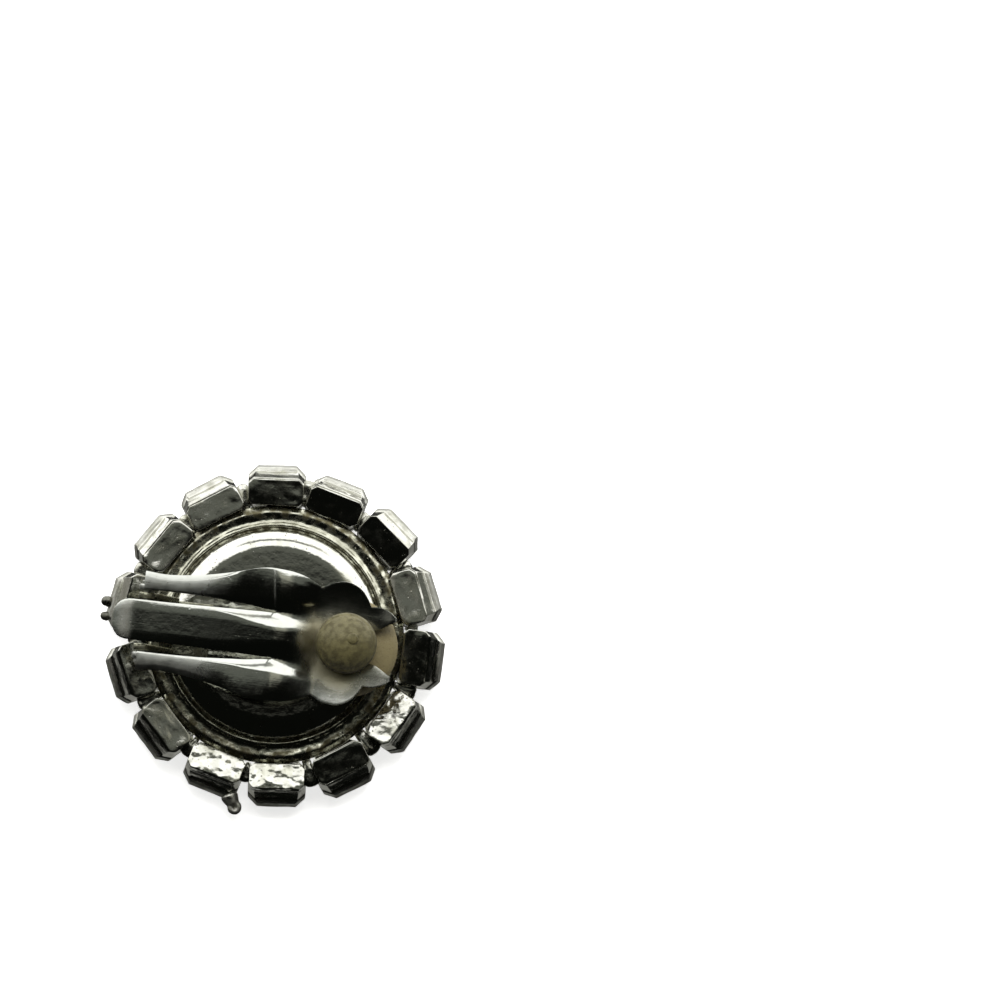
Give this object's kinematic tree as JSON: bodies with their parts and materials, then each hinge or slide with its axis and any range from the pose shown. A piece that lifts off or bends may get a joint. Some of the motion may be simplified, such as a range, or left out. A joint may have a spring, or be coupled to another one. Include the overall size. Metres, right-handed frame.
{
  "type": "clip-on earring",
  "caption": "Round clip-on earring: a cut centre stone in a ring of small cup-set stones, with a hinged ribbed clip lever and a soft comfort pad on its back.",
  "frame": {"origin": "middle of the flat front face of the centre stone, which the earring lies on", "axes": "+Z from the front to the back of the earring, where the clip is; +X from the clip's hinge to its tip; +Y completes the right-handed set"},
  "size_m": [0.0308, 0.0314, 0.0134],
  "materials": {
    "plated_metal": "polished plated metal, pitted, with tarnish in the recesses",
    "lever_steel": "satin pressed steel with bright ridges",
    "crystal": "clear cut glass",
    "vinyl": "aged ivory vinyl, mottled"
  },
  "bodies": {
    "earring": {"setting": "plated_metal", "centre_stone": "crystal", "stone_01": "crystal", "stone_02": "crystal", "stone_03": "crystal", "stone_04": "crystal", "stone_05": "crystal", "stone_06": "crystal", "stone_07": "crystal", "stone_08": "crystal", "stone_09": "crystal", "stone_10": "crystal", "stone_11": "crystal", "stone_12": "crystal", "stone_13": "crystal", "stone_14": "crystal", "hinge_pin": "lever_steel"},
    "lever": {"clip_lever": "lever_steel", "comfort_pad": "vinyl"}
  },
  "joints": [
    {"name": "clip_hinge", "type": "hinge", "parent": "earring", "child": "lever", "pos_m": [-0.0113, -0.0005, 0.00928], "axis": [0, -1, 0], "range_deg": [0, 85]}
  ]
}
